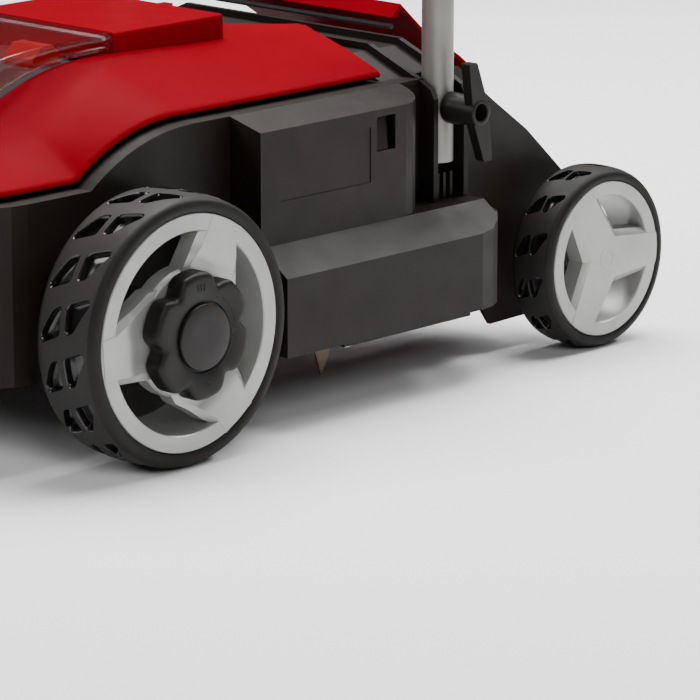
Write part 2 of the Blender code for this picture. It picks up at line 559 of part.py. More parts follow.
def make_front_end():
    size = (FRONT_TYRE_IN, FRONT_TYRE_OUT, FRONT_TYRE_R, FRONT_RIM_R, FRONT_RIM_BORE, 0.030, 70)
    for side, tag in ((1, "left"), (-1, "right")):
        crank = joint(f"{tag}_crank_turn", side * WALL_X, -CRANK_LEAN, FRONT_HUB_Z + CRANK_OFFSET)
        arm = place(f"{tag}_crank", disc(*sorted((side * 0.1762, side * 0.1880)), 0.021, -CRANK_LEAN,
                                         FRONT_HUB_Z + CRANK_OFFSET / 2, 20), (STEEL, 0.35, 1.0), crank)
        add(arm, f"{tag}_crank_pin", disc(*sorted((side * 0.146, side * 0.180)), SPINDLE_R, -CRANK_LEAN,
                                          FRONT_HUB_Z + CRANK_OFFSET, 16), crank)
        add(arm, f"{tag}_spindle", disc(*sorted((side * 0.184, side * 0.2495)),
                                        SPINDLE_R, 0.0, FRONT_HUB_Z, 16), crank)
        hub = joint(f"{tag}_front_wheel_spin", side * FRONT_TYRE_IN, 0.0, FRONT_HUB_Z)
        rim = make_wheel(f"{tag}_front", side, hub, 0.0, FRONT_HUB_Z, size)
        dish = disc(*sorted((side * (KNOB_BACK_X - 0.0005), side * 0.26)), 0.0505, 0.0, FRONT_HUB_Z, 32)
        cut(rim, f"{tag}_front_dish", dish, hub)
        make_knob(side, tag, crank, FRONT_HUB_Z)


def make_rear_end():
    size = (REAR_TYRE_IN, REAR_TYRE_OUT, REAR_TYRE_R, REAR_RIM_R, REAR_RIM_BORE, 0.034, 0)
    for side, tag in ((1, "left"), (-1, "right")):
        hub = joint(f"{tag}_rear_wheel_spin", side * REAR_TYRE_IN, REAR_AXLE_Y, REAR_HUB_Z)
        make_wheel(f"{tag}_rear", side, hub, REAR_AXLE_Y, REAR_HUB_Z, size)
        axle = turned([(side * x, r) for x, r in ((0.146, 0.011), (0.1515, 0.011), (0.1515, SPINDLE_R),
                                                  (0.2265, SPINDLE_R))], REAR_AXLE_Y, REAR_HUB_Z, 16)
        place(f"{tag}_rear_axle", axle, (STEEL, 0.35, 1.0))


def make_flap():
    pivot = joint("flap_hinge", 0.0, 0.3715, 0.2610)
    outer = [(0.3685, 0.2655), (0.3780, 0.2755), (0.4040, 0.2525), (0.4486, 0.2245), (0.4620, 0.2140),
             (0.4700, 0.1950),
             (0.4740, 0.1000)]
    inner = [(0.4710, 0.1000), (0.4670, 0.1940), (0.4595, 0.2118), (0.4470, 0.2218), (0.4023, 0.2500),
             (0.3805, 0.2695),
             (0.3755, 0.2690), (0.3760, 0.2650)]
    place("rear_flap", prism_x(outer + inner, -0.1000, 0.1000), (RED, 0.35), pivot)
    place("flap_rod", disc(-0.098, 0.098, 0.0022, 0.3700, 0.2580, 8), (STEEL, 0.3, 1.0))


# ---- handle --------------------------------------------------------------------------------
def lean_point(x, z):
    """A point on the leaning stretch of the handle at a height."""
    return (x, TUBE_Y + (z - BEND_Z - 0.035) * sin(LEAN) / cos(LEAN), z)


def wing_nut(name, x, y, z, side, turn, parent=None):
    """A hollow boss with two tapered wings, on an axis along X."""
    boss = ((0.0, 0.0125), (0.013, 0.0122), (0.033, 0.0105), (0.033, 0.0072), (0.0, 0.0062))
    nut = place(name, turned([(side * (x + along), r) for along, r in boss], y, z, 16, closed=True),
                (BLACK, 0.5), parent)
    for half in (0, 180):
        a = radians(turn + half)
        out, across = Vector((cos(a), sin(a))), Vector((-sin(a), cos(a)))
        corners = [out * 0.0080 - across * 0.0085, out * 0.0395 - across * 0.0010,
                   out * 0.0410 + across * 0.0090,
                   out * 0.0080 + across * 0.0085]
        wing = prism_x([(y + c.x, z + c.y) for c in corners], *sorted((side * (x + 0.0235),
                                                                       side * (x + 0.0325))))
        add(nut, f"{name}_wing_{half}", wing, parent)


def make_handle():
    tube, steel = ((0.45, 0.45, 0.46), 0.3, 1.0), (STEEL, 0.35, 1.0)
    fold = joint("handle_fold", 0.0, *lean_point(0, FOLD_Z)[1:])
    fy, fz = fold.location.y, fold.location.z
    for side, tag in ((1, "left"), (-1, "right")):
        x = side * TUBE_X
        path = [(x, TUBE_Y, TUBE_FOOT_Z), (x, TUBE_Y, 0.28), (x, TUBE_Y, BEND_Z)]
        for k in (1, 2, 3):
            t = k / 4
            end = lean_point(x, BEND_Z + 0.085)
            path.append((x, TUBE_Y * (1 - t) ** 2 + 2 * t * (1 - t) * TUBE_Y + t * t * end[1],
                         BEND_Z * (1 - t) ** 2 + 2 * t * (1 - t) * (BEND_Z + 0.035) + t * t * end[2]))
        path += [lean_point(x, BEND_Z + 0.085), lean_point(x, 0.52), lean_point(x, FOLD_Z + 0.022)]
        lower = place(f"{tag}_lower_tube", sweep(path, TUBE_R, 14, TUBE_BORE), tube)
        for end, y, z in (("foot", TUBE_Y, NUT_Z), ("top", fy, fz)):
            hole = disc(*sorted((side * 0.15, side * 0.20)), 0.0042, y, z, 10)
            cut(lower, f"{tag}_{end}_hole", hole)
        bolt = [(0.1500, 0.007), (0.1546, 0.007), (0.1546, 0.0039), (0.2080, 0.0039)]
        place(f"{tag}_foot_bolt", turned([(side * a, r) for a, r in bolt], TUBE_Y, NUT_Z, 12), steel)
        turn = joint(f"{tag}_foot_nut_turn", side * 0.19, TUBE_Y, NUT_Z)
        wing_nut(f"{tag}_foot_wing_nut", 0.1876, TUBE_Y, NUT_Z, side, 97, turn)
        bolt = [(0.1320, 0.007), (0.1362, 0.007), (0.1362, 0.0039), (0.2080, 0.0039)]
        place(f"{tag}_fold_bolt", turned([(side * a, r) for a, r in bolt], fy, fz, 12), steel)
        turn = joint(f"{tag}_fold_nut_turn", side * 0.19, fy, fz)
        wing_nut(f"{tag}_fold_wing_nut", 0.1876, fy, fz, side, 120, turn)
    make_upper_handle(fold, tube)


def make_upper_handle(fold, tube):
    """The folding loop with its grip, switch box, bail and lock-off button."""
    leg = TUBE_X - 2 * TUBE_R - 0.0010
    corner = 0.045
    start, top = lean_point(leg, FOLD_Z - 0.022), lean_point(leg, GRIP_Z)
    half = [start, lean_point(leg, 0.70), lean_point(leg, 0.85), lean_point(leg, GRIP_Z - corner * cos(LEAN))]
    for k in (1, 2, 3):
        a = pi / 2 * k / 3
        z = GRIP_Z - corner * cos(LEAN) * (1 - sin(a))
        half.append(lean_point(leg - corner * (1 - cos(a)), z))
    path = half + [(-x, y, z) for x, y, z in reversed(half)]
    bar = place("upper_handle", sweep(path, TUBE_R - 0.0005, 14, TUBE_BORE - 0.0005), tube, fold)
    for side in (1, -1):
        hole = disc(*sorted((side * 0.12, side * 0.17)), 0.0042, fold.location.y, fold.location.z, 10)
        cut(bar, f"fold_hole_{side + 1}", hole, fold)
    gy, gz = top[1], top[2]
    for side, tag in ((1, "left"), (-1, "right")):
        grip = sleeve(*sorted((side * 0.042, side * 0.100)), 0.0165, TUBE_R + 0.0001, gy, gz, 16)
        place(f"{tag}_grip", grip, (DARK, 0.8), fold)
    box = place("switch_box", block(-0.038, 0.038, gy - 0.026, gy + 0.022, gz - 0.024, gz + 0.024),
                (BLACK, 0.5), fold)
    cut(box, "switch_box_bore", disc(-0.05, 0.05, TUBE_R + 0.0001, gy, gz, 16), fold)
    cut(box, "button_seat", block(-0.0085, 0.0085, gy - 0.0085, gy + 0.0085, gz + 0.017, gz + 0.03), fold)
    cut(box, "bail_slot", block(-0.05, 0.05, gy - 0.03, gy - 0.0165, gz - 0.008, gz + 0.004), fold)
    press = joint("lock_button_press", 0.0, gy, gz + 0.026)
    place("lock_button", block(-0.0080, 0.0080, gy - 0.0080, gy + 0.0080, gz + 0.0215, gz + 0.0285),
          (RED, 0.4), press)
    pivot = joint("bail_squeeze", 0.0, gy - 0.0225, gz - 0.002)
    py, pz = pivot.location.y, pivot.location.z
    arm = [(0.030, py, pz), (0.046, py, pz), (0.070, py - 0.020, pz - 0.010), (0.098, py - 0.030, pz - 0.016)]
    rod = [(-x, y, z) for x, y, z in reversed(arm)] + arm
    place("bail_lever", sweep(rod, 0.0045, 8), (DARK, 0.4), pivot)


def main():
    make_deck()
    make_hood()
    make_bay()
    make_batteries()
    make_lid()
    make_drive()
    make_inner_parts()
    make_front_end()
    make_rear_end()
    make_flap()
    make_handle()


main()
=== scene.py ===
"""Looks of the cordless lawn scarifier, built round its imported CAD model.

Lengths are metres in the part's frame: the machine drives towards -Y and its left side is +X.
"""

from math import asin, atan2, cos, pi, radians, sin, sqrt, tan

import bmesh
import bpy
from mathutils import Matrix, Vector


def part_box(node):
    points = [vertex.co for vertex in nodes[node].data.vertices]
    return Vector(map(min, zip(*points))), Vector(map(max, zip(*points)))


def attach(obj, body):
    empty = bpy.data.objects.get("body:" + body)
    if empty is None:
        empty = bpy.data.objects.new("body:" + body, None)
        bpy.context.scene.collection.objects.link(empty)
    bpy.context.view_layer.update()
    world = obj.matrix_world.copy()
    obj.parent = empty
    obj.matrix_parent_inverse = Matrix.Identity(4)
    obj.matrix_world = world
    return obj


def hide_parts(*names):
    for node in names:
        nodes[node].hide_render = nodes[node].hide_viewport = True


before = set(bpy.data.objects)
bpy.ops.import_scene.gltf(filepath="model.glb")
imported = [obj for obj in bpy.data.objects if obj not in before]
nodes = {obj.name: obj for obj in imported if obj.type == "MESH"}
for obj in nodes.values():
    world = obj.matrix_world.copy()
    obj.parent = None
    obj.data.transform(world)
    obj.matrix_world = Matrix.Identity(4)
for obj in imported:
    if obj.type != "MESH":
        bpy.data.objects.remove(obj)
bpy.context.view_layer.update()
SIDES = (("left", 1), ("right", -1))


def middle(node):
    """Centre of a CAD node's box."""
    low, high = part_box(node)
    return Vector([(a + b) / 2 for a, b in zip(low, high)])


AXLE_Y = middle("left_front_rim").y     # the front axle, from which the body's stations are given


# ---- materials -----------------------------------------------------------------------------
NOISE_LOW, NOISE_HIGH = 0.3, 0.7        # the part of a noise's range that its colours spread over


def linear(red, green, blue):
    """A screen colour, 0 to 255, as linear light."""
    return tuple((c / 255) ** 2.2 for c in (red, green, blue)) + (1.0,)


class Look:
    """A Principled material with a few node shortcuts."""

    def __init__(self, name, colour, roughness, metallic=0.0):
        self.material = bpy.data.materials.new(name)
        self.material.use_nodes = True
        self.tree = self.material.node_tree
        self.shader = self.tree.nodes["Principled BSDF"]
        self.set("Base Color", colour)
        self.set("Roughness", roughness)
        self.set("Metallic", metallic)
        self.where = self.node("ShaderNodeTexCoord").outputs["Object"]
        self.height = None

    def node(self, kind, **inputs):
        made = self.tree.nodes.new(kind)
        for key, value in inputs.items():
            made.inputs[key.replace("_", " ")].default_value = value
        return made

    def link(self, source, target):
        self.tree.links.new(source, target)

    def set(self, socket, value):
        self.shader.inputs[socket].default_value = value

    def noise(self, scale, detail=4.0, roughness=0.55, stretch=None):
        """A noise's value, its scale in cycles per metre."""
        made = self.node("ShaderNodeTexNoise", Scale=scale, Detail=detail, Roughness=roughness)
        where = self.where
        if stretch:
            mapping = self.node("ShaderNodeMapping", Scale=stretch)
            self.link(where, mapping.inputs["Vector"])
            where = mapping.outputs["Vector"]
        self.link(where, made.inputs["Vector"])
        return made.outputs["Fac"]

    def colour_by(self, value, low, high):
        """The base colour, a mix of two by a noise's value."""
        made = self.node("ShaderNodeValToRGB")
        made.color_ramp.elements[0].position = NOISE_LOW
        made.color_ramp.elements[0].color = low
        made.color_ramp.elements[1].position = NOISE_HIGH
        made.color_ramp.elements[1].color = high
        self.link(value, made.inputs["Fac"])
        self.link(made.outputs["Color"], self.shader.inputs["Base Color"])

    def roughness_by(self, value, low, high):
        """The roughness, between two numbers by a noise's value."""
        made = self.node("ShaderNodeMapRange", To_Min=low, To_Max=high,
                         From_Min=NOISE_LOW, From_Max=NOISE_HIGH)
        self.link(value, made.inputs["Value"])
        self.link(made.outputs["Result"], self.shader.inputs["Roughness"])

    def bump(self, value, distance):
        """Relief of a depth in metres, added to any relief before it."""
        made = self.node("ShaderNodeBump", Distance=distance, Strength=1.0)
        self.link(value, made.inputs["Height"])
        if self.height:
            self.link(self.height, made.inputs["Normal"])
        self.height = made.outputs["Normal"]
        self.link(self.height, self.shader.inputs["Normal"])


def shade(colour, factor):
    """A colour made darker or lighter."""
    return tuple(c * factor for c in colour[:3]) + (1.0,)


def moulded(name, colour, roughness, grain, depth, vary=0.16, scuff=True, gloss=0.5):
    """Injection-moulded plastic: spark-eroded grain and slow colour drift."""
    look = Look(name, colour, roughness)
    look.set("Specular IOR Level", gloss)
    look.colour_by(look.noise(9.0, 3.0), shade(colour, 1 - vary), shade(colour, 1 + vary))
    look.roughness_by(look.noise(40.0, 5.0), roughness - 0.05, roughness + 0.06)
    look.bump(look.noise(grain, 3.0, 0.6), depth)
    if scuff:
        look.bump(look.noise(140.0, 2.0), depth * 0.6)
    return look.material


def metal(name, colour, roughness, stretch, metallic=1.0):
    """Drawn metal: fine lines along the piece and a little tarnish."""
    look = Look(name, colour, roughness, metallic)
    lines = look.noise(900.0, 4.0, 0.6, stretch)
    look.roughness_by(lines, roughness - 0.07, roughness + 0.10)
    look.colour_by(look.noise(22.0, 4.0), shade(colour, 0.86), shade(colour, 1.06))
    look.bump(lines, 0.00002)
    return look.material


def clear(name, colour, roughness, body):
    """Thin clear tinted plastic with fine handling marks. body is how much it hides."""
    look = Look(name, colour, roughness)
    look.set("Alpha", body)
    look.set("Coat Weight", 0.8)
    look.set("Coat Roughness", roughness)
    look.roughness_by(look.noise(60.0, 6.0), roughness, roughness + 0.05)
    look.colour_by(look.noise(14.0), shade(colour, 0.85), shade(colour, 1.1))
    look.bump(look.noise(18.0, 2.0), 0.00006)
    return look.material


BLACK, RED, GREY = linear(28, 23, 20), linear(118, 0, 24), linear(160, 160, 157)
looks = {
    "deck": moulded("deck_black", BLACK, 0.46, 1900.0, 0.00010, gloss=0.2),
    "red": moulded("hood_red", RED, 0.36, 1500.0, 0.00002, 0.05, False, 0.008),
    "rim": metal("rim_silver", GREY, 0.38, (1.0, 1.0, 1.0), 0.45),
    "knob": moulded("knob_black", linear(28, 26, 24), 0.42, 2100.0, 0.00006, gloss=0.2),
    "tread": moulded("tread_rubber", linear(36, 33, 31), 0.6, 1300.0, 0.00012, gloss=0.25),
    "cap": moulded("cap_black", linear(30, 28, 27), 0.36, 2400.0, 0.00002, 0.06, False, 0.25),
    "pocket": moulded("pocket_rubber", linear(24, 23, 22), 0.16, 700.0, 0.00002),
    "wall": moulded("tyre_wall", linear(28, 26, 24), 0.55, 1500.0, 0.00006, gloss=0.2),
    "foam": moulded("grip_foam", linear(38, 37, 36), 0.88, 1500.0, 0.00040),
    "belt": moulded("belt_rubber", linear(34, 33, 32), 0.75, 900.0, 0.00010),
    "board": moulded("board_green", linear(24, 96, 52), 0.35, 500.0, 0.00003),
    "pack": moulded("battery_black", linear(46, 45, 45), 0.48, 1500.0, 0.00008),
    "latch": moulded("latch_red", linear(205, 38, 28), 0.34, 1500.0, 0.00003, 0.06),
    "tube": metal("tube_silver", (0.27, 0.265, 0.25, 1), 0.50, (1.0, 1.0, 0.05), 0.7),
    "steel": metal("zinc_steel", (0.56, 0.56, 0.55, 1), 0.32, (0.05, 1.0, 1.0)),
    "blade": metal("blade_steel", (0.13, 0.105, 0.085, 1), 0.42, (1.0, 1.0, 0.3)),
    "lid": clear("lid_clear", linear(120, 18, 26), 0.06, 0.34),
}

NODE_LOOKS = (
    # words in the node's name, look: the first row that fits counts
    (("screw",), "steel"),
    (("deck", "battery_bay", "belt_cover", "hood_post", "switch_box"), "deck"),
    (("crank",), "knob"),
    (("hood", "rear_flap"), "red"),
    (("latch", "lock_button"), "latch"),
    (("battery_lid",), "lid"),
    (("battery", "motor_housing"), "pack"),
    (("drive_belt", "flap_rod"), "belt"),
    (("tyre",), "tread"),
    (("rim",), "rim"),
    (("knob", "wing_nut", "bail_lever", "pulley"), "knob"),
    (("blade_set",), "blade"),
    (("tube", "upper_handle"), "tube"),
    (("grip",), "foam"),
    (("board",), "board"),
)


def look_for(node):
    """The finish of a CAD node, from its name."""
    for words, look in NODE_LOOKS:
        if any(word in node for word in words):
            return look
    return "steel"


def dress_nodes():
    """Gives every CAD node its finish and slightly rounded edges."""
    for name, node in nodes.items():
        node.data.materials.clear()
        node.data.materials.append(looks[look_for(name)])
        soften(node, min(0.0012, min(node.dimensions) * 0.12))


def soften(piece, width, segments=2):
    """Rounds the hard edges of a piece."""
    edge = piece.modifiers.new("edges", "BEVEL")
    edge.width = width
    edge.segments = segments
    edge.limit_method = "ANGLE"
    edge.angle_limit = radians(34)
    edge.harden_normals = True


# ---- pieces --------------------------------------------------------------------------------
def piece(name, bm, look, body, *stands_for, smooth=40):
    """A finished mesh that rides on a body and may stand for CAD nodes."""
    bmesh.ops.recalc_face_normals(bm, faces=bm.faces)
    mesh = bpy.data.meshes.new(name)
    bm.to_mesh(mesh)
    bm.free()
    mesh.shade_smooth()
    mesh.set_sharp_from_angle(angle=radians(smooth))
    made = bpy.data.objects.new(name, mesh)
    bpy.context.collection.objects.link(made)
    for finish in (look if isinstance(look, tuple) else (look,)):
        mesh.materials.append(looks[finish])
    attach(made, body)
    if stands_for:
        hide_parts(*stands_for)
    return made


# ---- mesh helpers --------------------------------------------------------------------------
def bridge(bm, first, second, finish=0, closed=True):
    """Quads between two rows of vertices of the same length."""
    count = len(first)
    for k in range(count if closed else count - 1):
        n = (k + 1) % count
        face = bm.faces.new((first[k], first[n], second[n], second[k]))
        face.material_index = finish


def fill(bm, row, finish=0):
    """One face over a closed row."""
    face = bm.faces.new(row)
    face.material_index = finish


def polar(origin, x, radius, angle):
    """A point on a circle about an X axis, its angle in radians from +Y towards +Z."""
    return Vector((x, origin.y + radius * cos(angle), origin.z + radius * sin(angle)))


def revolve(bm, origin, profile, count=96, finish=0):
    """Turns a profile of (x, radius) about the X axis through origin."""
    rows = []
    for x, radius in profile:
        rows.append([bm.verts.new(polar(origin, x, radius, 2 * pi * k / count)) for k in range(count)])
    for first, second in zip(rows, rows[1:]):
        bridge(bm, first, second, finish)
    return rows


def sided(side, profile):
    """A profile of (x, radius) for the machine's left (1) or right (-1)."""
    return [(side * x, radius) for x, radius in profile]


def rounded(corners, radius, steps=5):
    """A closed outline with its corners rounded off."""
    points = []
    for k, here in enumerate(corners):
        here = Vector(here)
        before, after = Vector(corners[k - 1]), Vector(corners[(k + 1) % len(corners)])
        reach = min(radius, (before - here).length / 2.05, (after - here).length / 2.05)
        start = here + (before - here).normalized() * reach
        end = here + (after - here).normalized() * reach
        for s in range(steps + 1):
            t = s / steps
            points.append(start * (1 - t) ** 2 + here * 2 * t * (1 - t) + end * t ** 2)
    return points


def ray_hit(outline, centre, angle):
    """How far an outline lies from a centre in one direction."""
    out = Vector((cos(angle), sin(angle)))
    best = 0.0
    for k, b in enumerate(outline):
        a = outline[k - 1]
        edge, start = b - a, a - centre
        cross = out.x * edge.y - out.y * edge.x
        if abs(cross) < 1e-12:
            continue
        along = (start.x * edge.y - start.y * edge.x) / cross
        share = (start.x * out.y - start.y * out.x) / cross
        if -1e-6 <= share <= 1 + 1e-6 and along > best:
            best = along
    return best


# ---- wheels --------------------------------------------------------------------------------
# A tread pocket seen face on, millimetres: across the tyre from the middle outwards, then along it.
POCKET = ((0.0, -9.0), (18.5, -16.5), (20.5, -11.5), (9.0, 10.5), (1.2, 12.5))
POCKET_CENTRE = (9.0, -3.0)
POCKET_SKEW = -0.72              # how far the cells lean along the tyre, per unit across it
POCKET_SHARE = 0.87              # a pocket's size as a share of the outline, for wide ribs
POCKET_INSET = 0.62              # the share of the row's spare width that lies at the seam
TREAD_STAGGER = -3               # the inner row's shift, in 24ths of a pocket's pitch


def make_tyre(name, side, hub, size, body, node):
    """A tyre whose tread is cut by two staggered rows of leaning pockets."""
    x_in, x_out, crown, bore, count, scale, depth = size
    around, across = 24, 10
    total, pitch = count * around, 2 * pi * crown / count
    step = pitch / around
    bm = bmesh.new()
    middle_x = (x_in + x_out) / 2
    half = (x_out - x_in) / 2 - 0.0042

    def crown_at(across_x):
        return crown - 0.0016 * (abs(across_x) / half) ** 3

    def surface(across_x, along, sink):
        """A point on the tread: metres from the tyre's middle plane, metres along it, and depth."""
        return polar(hub, side * (middle_x + across_x), crown_at(across_x) - sink, pi + along / crown)

    def circle(across_x):
        return [bm.verts.new(surface(across_x, step * k, 0.0)) for k in range(total)]

    edge_out, seam, edge_in = circle(half), circle(0.0), circle(-half)
    outline = [Vector(p) * scale / 1000 for p in rounded(POCKET, 3.4)]
    centre = Vector(POCKET_CENTRE) * scale / 1000
    inset = (half - POCKET[2][0] * scale / 1000) * POCKET_INSET
    lean = round(POCKET_SKEW * half / step)
    start = Vector((inset + centre.x, pitch / 2 + lean * step * (inset + centre.x) / half))

    # one cell of the lattice, unrolled: along the seam, up one side, back along the edge, down
    flat = [Vector((0.0, k * step)) for k in range(around)]
    flat += [Vector((half * s / across, pitch + lean * step * s / across)) for s in range(across)]
    flat += [Vector((half, (lean + k) * step)) for k in range(around, 0, -1)]
    flat += [Vector((half * s / across, lean * step * s / across)) for s in range(across, 0, -1)]
    angles = [atan2(p.y - start.y, p.x - start.x) for p in flat]
    reaches = [POCKET_SHARE * ray_hit(outline, centre, angle) for angle in angles]

    for row, rim, stagger in ((1, edge_out, 0), (-1, edge_in, TREAD_STAGGER)):
        sides = []
        for cell in range(count):
            here = row * cell * around + stagger
            line = [seam[here % total]]
            for s in range(1, across):
                t = s / across
                line.append(bm.verts.new(surface(row * half * t, step * (here + row * lean * t), 0.0)))
            sides.append(line + [rim[(here + row * lean) % total]])
        sides.append(sides[0])
        for cell in range(count):
            here = row * cell * around + stagger
            bottom = [seam[(here + row * k) % total] for k in range(around + 1)]
            top = [rim[(here + row * (lean + k)) % total] for k in range(around + 1)]
            previous = bottom[:-1] + sides[cell + 1][:-1] + top[:0:-1] + sides[cell][:0:-1]
            for finish, share, shrink, sink in (
                (0, 0.5, 1.0, 0.0), (0, 1.0, 1.0, 0.0), (1, 1.0, 0.955, 0.0006), (1, 1.0, 0.91, depth * 0.5),
                (1, 1.0, 0.86, depth * 0.95), (1, 1.0, 0.80, depth), (1, 1.0, 0.3, depth * 1.04),
            ):
                ring = []
                for p, angle, reach in zip(flat, angles, reaches):
                    at = p * (1 - share) + (start + Vector((cos(angle), sin(angle))) * reach * shrink) * share
                    ring.append(bm.verts.new(surface(row * at.x, step * here + row * at.y, sink)))
                bridge(bm, previous, ring, finish)
                previous = ring
            fill(bm, previous, 1)

    def wall(start, outward):
        """From the tread's edge over the shoulder and down the sidewall."""
        face_x = x_out if outward > 0 else x_in
        steps = [(-0.0028, 0.0022), (-0.0012, 0.0034), (-0.0004, 0.0052), (0.0, 0.0078)]
        previous = start
        rows = [(face_x + outward * dx, crown - dr) for dx, dr in steps]
        rows += [(face_x - outward * 0.0002, bore + 0.0016), (face_x - outward * 0.0012, bore + 0.0002)]
        for x, radius in rows:
            ring = [bm.verts.new(polar(hub, side * x, radius, pi + step * k / crown)) for k in range(total)]
            bridge(bm, previous, ring, 2)
            previous = ring
        return previous

    outer = wall(edge_out, 1)
    inner = wall(edge_in, -1)
    bridge(bm, outer, inner, 2)
    piece(name, bm, ("tread", "pocket", "wall"), body, node, smooth=38)


# x inner and outer, crown radius, bore radius, pockets around, pocket scale, pocket depth
FRONT_TYRE = (0.190, 0.248, 0.1000, 0.0877, 16, 1.17, 0.0060)
REAR_TYRE = (0.188, 0.228, 0.0727, 0.0626, 13, 0.82, 0.0045)


# ---- rims and knobs ------------------------------------------------------------------------
def spoke_axes(first, k):
    """A spoke's outward and sideways directions in the wheel's plane."""
    a = radians(first + 120 * k)
    return Vector((cos(a), sin(a))), Vector((-sin(a), cos(a)))


SPOKE_SWEEP = 3.6                # how much more a front spoke widens on its forward side
SPOKE_DEPTH = 0.018              # from a spoke's face to its back edges
SPOKE_SHORT = 0.0006             # how far inside the ring's outer edge a spoke ends
HUB_BORE_R, HUB_BORE_DEPTH = 0.0165, 0.030


def make_spokes(bm, side, hub, size):
    """Three separate spokes whose faces dip towards the knob in front of them."""
    _, x_out, ring_r, bore_r, tip, root, first, chamfer, dish_r, dish = size
    for k in range(3):
        out, across = spoke_axes(first, k)
        previous = None
        stations = [(ring_r - SPOKE_SHORT, tip, 0.0), (bore_r - 0.001, tip + 0.0002, 0.0)]
        for t in (0.0, 0.2, 0.4, 0.6, 0.8, 1.0):
            reach = dish_r + 0.016 * (1 - t)
            stations.append((reach, tip + (root - tip) * (bore_r - reach) / (bore_r - dish_r), dish * t * t))
        stations += [(dish_r - 0.014, root + 0.002, dish), (0.018, root + 0.002, dish)]
        for reach, half, sink in stations:
            row = []
            wide = tip + (half - tip) * SPOKE_SWEEP
            for u, x in ((-wide - chamfer, x_out - SPOKE_DEPTH), (-wide - chamfer, x_out - chamfer * 0.85),
                         (-wide - 0.0004, x_out - 0.0005 - sink), (-wide + 0.0004, x_out - sink),
                         (half - 0.0004, x_out - sink), (half + 0.0004, x_out - 0.0005 - sink),
                         (half + chamfer, x_out - chamfer * 0.85), (half + chamfer, x_out - SPOKE_DEPTH)):
                flat = out * (sqrt(reach * reach - u * u) if reach > bore_r * 0.9 else reach) + across * u
                row.append(bm.verts.new((side * x, hub.y + flat.x, hub.z + flat.y)))
            if previous:
                bridge(bm, previous, row, closed=False)
            previous = row


def star(hub, side, x, size, grow, bm):
    """The outline of three spokes that meet in one broad middle."""
    ring_r, bore_r, tip, root, first = size[2:7]
    end_r = ring_r - SPOKE_SHORT
    row = []
    for k in range(3):
        out, across = spoke_axes(first, k)
        half = tip + grow
        edge = asin(half / end_r)
        for s in range(13):
            a = radians(first + 120 * k) + edge * (s / 6 - 1)
            row.append(bm.verts.new(polar(hub, side * x, end_r, a)))
        outer, inner = out * bore_r + across * half, out * 0.006 + across * (root + grow)
        a = radians(first + 120 * k + 60)
        between = Vector((cos(a), sin(a)))
        run = inner - outer
        t = -(outer.x * between.y - outer.y * between.x) / (run.x * between.y - run.y * between.x)
        corner = outer + run * t
        row.append(bm.verts.new((side * x, hub.y + corner.x, hub.z + corner.y)))
    return row


def make_rim(name, side, hub, size, body, node):
    """A flat-faced ring on three broad chamfered spokes, with a deep barrel behind."""
    x_in, x_out, ring_r, bore_r, _, _, _, chamfer, dish_r, dish = size
    bm = bmesh.new()
    profile = [(x_in, ring_r - 0.0004), (x_out - 0.0012, ring_r - 0.0004), (x_out - 0.0004, ring_r - 0.0010),
               (x_out - 0.0003, bore_r + 0.0008), (x_out - 0.0012, bore_r), (x_out - 0.010, bore_r - 0.0010),
               (x_in, bore_r - 0.0030)]
    rows = revolve(bm, hub, sided(side, profile), 144)
    bridge(bm, rows[-1], rows[0])
    if dish_r:
        make_spokes(bm, side, hub, size)
        face = x_out - dish
        middle_disc = [(x_out - SPOKE_DEPTH, dish_r - 0.0010), (x_out - 0.0068, dish_r - 0.0014),
                       (face - 0.0010, dish_r - 0.0030), (face - 0.0001, dish_r - 0.0045),
                       (face - 0.0001, 0.0180)]
        revolve(bm, hub, sided(side, middle_disc), 96)
    else:
        face = x_out
        previous = star(hub, side, x_out, size, -0.0004, bm)
        fill(bm, previous)
        for x, grow in ((x_out - 0.0005, 0.0004), (x_out - chamfer * 0.85, chamfer),
                        (x_out - SPOKE_DEPTH, chamfer)):
            row = star(hub, side, x, size, grow, bm)
            bridge(bm, previous, row)
            previous = row
        raised_ring = [(face, 0.0083), (face + 0.0003, 0.0080),
                       (face + 0.0003, 0.0075), (face - 0.0001, 0.0072)]
        revolve(bm, hub, sided(side, raised_ring), 64)
    bore = [(face - HUB_BORE_DEPTH, HUB_BORE_R), (face - 0.002, HUB_BORE_R)]
    revolve(bm, hub, sided(side, bore), 64)
    piece(name, bm, "rim", body, node, smooth=30)


# x inner and outer, ring outer and inner radii, spoke half widths at ring and hub, first angle,
# chamfer, radius and depth of the dish in the middle (0 where the spokes meet in a flat star)
FRONT_RIM = (0.1935, 0.2480, 0.0877, 0.0745, 0.0158, 0.0186, 64, 0.0050, 0.0490, 0.0034)
REAR_RIM = (0.1915, 0.2280, 0.0626, 0.0510, 0.0122, 0.0174, 0, 0.0046, 0.0, 0.0)


def arc_strip(bm, origin, side, x, span, reach, thick=0.0003):
    """A raised strip on a dial: span is its two angles in degrees, reach its two radii."""
    count = max(2, int(abs(span[1] - span[0]) / 4))
    rows = []
    for radius, height in ((reach[0], 0.0), (reach[0], thick), (reach[1], thick), (reach[1], 0.0)):
        rows.append([bm.verts.new(polar(origin, side * (x + height), radius,
                                        radians(span[0] + (span[1] - span[0]) * k / count)))
                     for k in range(count + 1)])
    for first, second in zip(rows, rows[1:]):
        bridge(bm, first, second, closed=False)
    for end in (0, -1):
        fill(bm, [row[end] for row in rows])


KNOB_BACK_X, KNOB_FACE_X, KNOB_CAP_X = 0.2454, 0.2612, 0.2632
KNOB_R, KNOB_SCALLOP = 0.0472, 0.0078   # the lobes' radius, and the depth of the dips between
KNOB_LOBE_ANGLE = 37             # degrees from +Y to the middle of the first lobe


